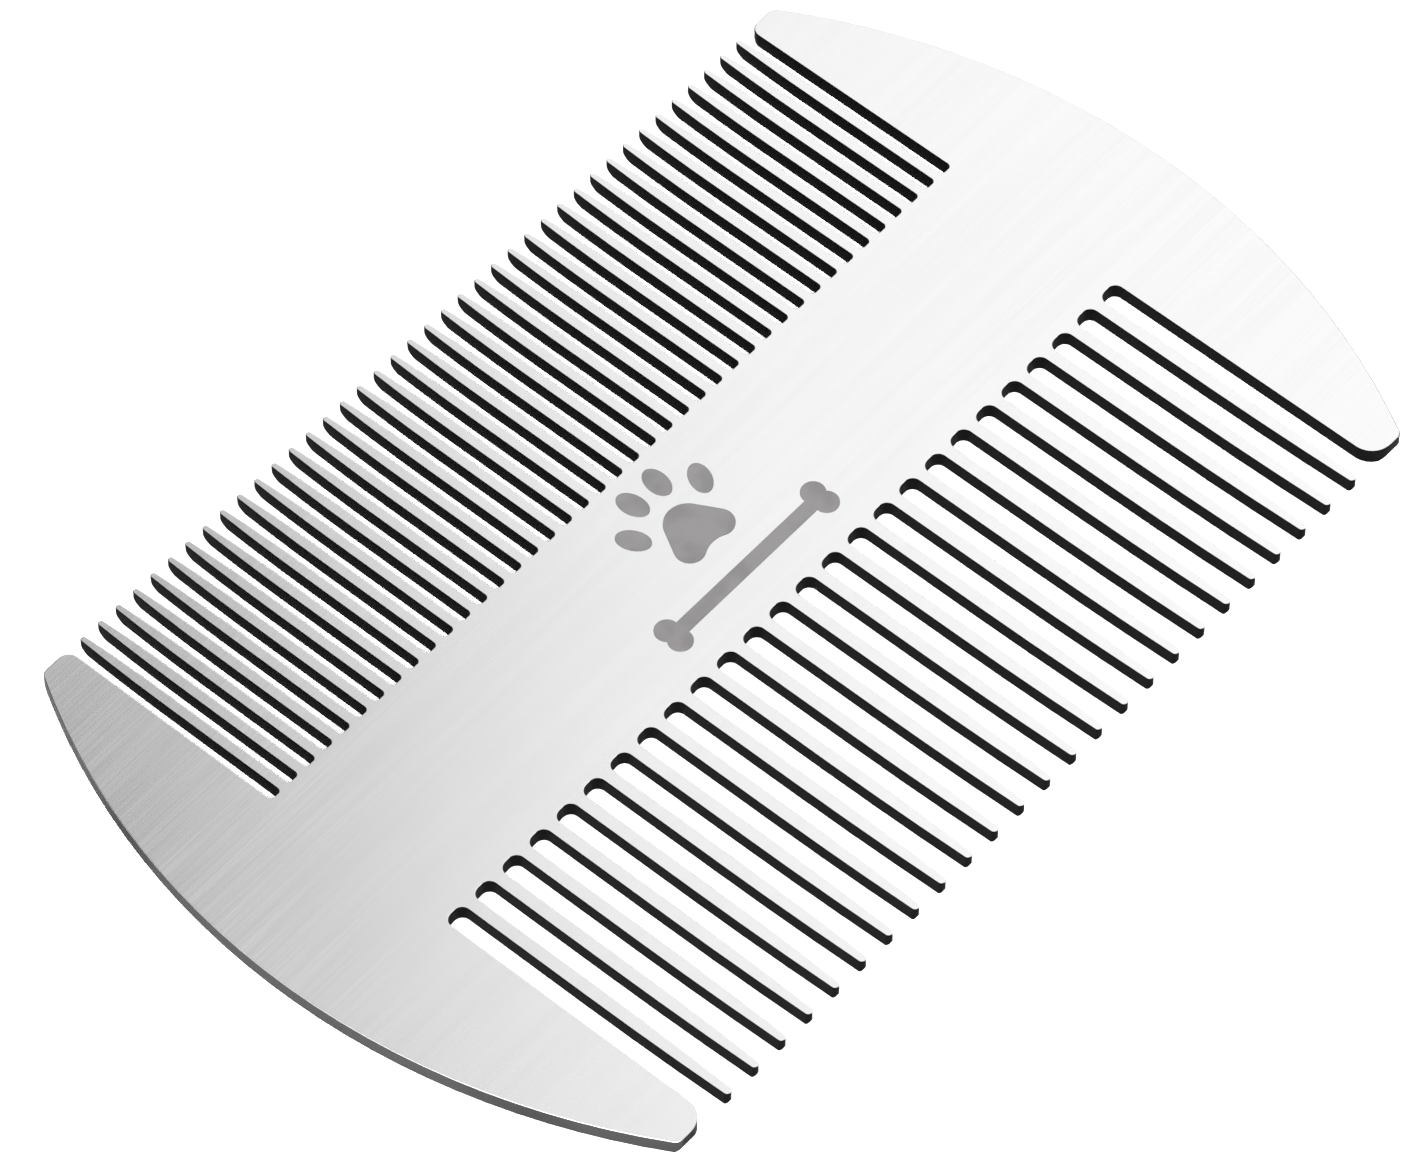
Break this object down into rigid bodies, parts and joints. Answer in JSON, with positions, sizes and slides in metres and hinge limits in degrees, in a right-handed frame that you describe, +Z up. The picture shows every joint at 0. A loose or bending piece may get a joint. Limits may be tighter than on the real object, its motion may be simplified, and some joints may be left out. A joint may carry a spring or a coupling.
{
  "type": "flea comb",
  "caption": "Flat double-sided steel flea comb with a row of close teeth, a row of wide-set teeth, a plain bar between them and two bowed solid ends.",
  "frame": {"origin": "middle of the plate's outline, on its underside, so the comb lies on Z = 0", "axes": "+X along the comb from end to end, +Y towards the fine teeth, +Z up out of the printed face"},
  "size_m": [0.1048, 0.0654, 0.0016],
  "materials": {
    "steel": "satin stainless steel, finely brushed along the comb, with tumbled edges",
    "mark_ink": "matt grey printed mark"
  },
  "bodies": {
    "root": {"comb_plate": "steel", "paw_mark": "mark_ink", "bone_mark": "mark_ink"}
  },
  "joints": []
}
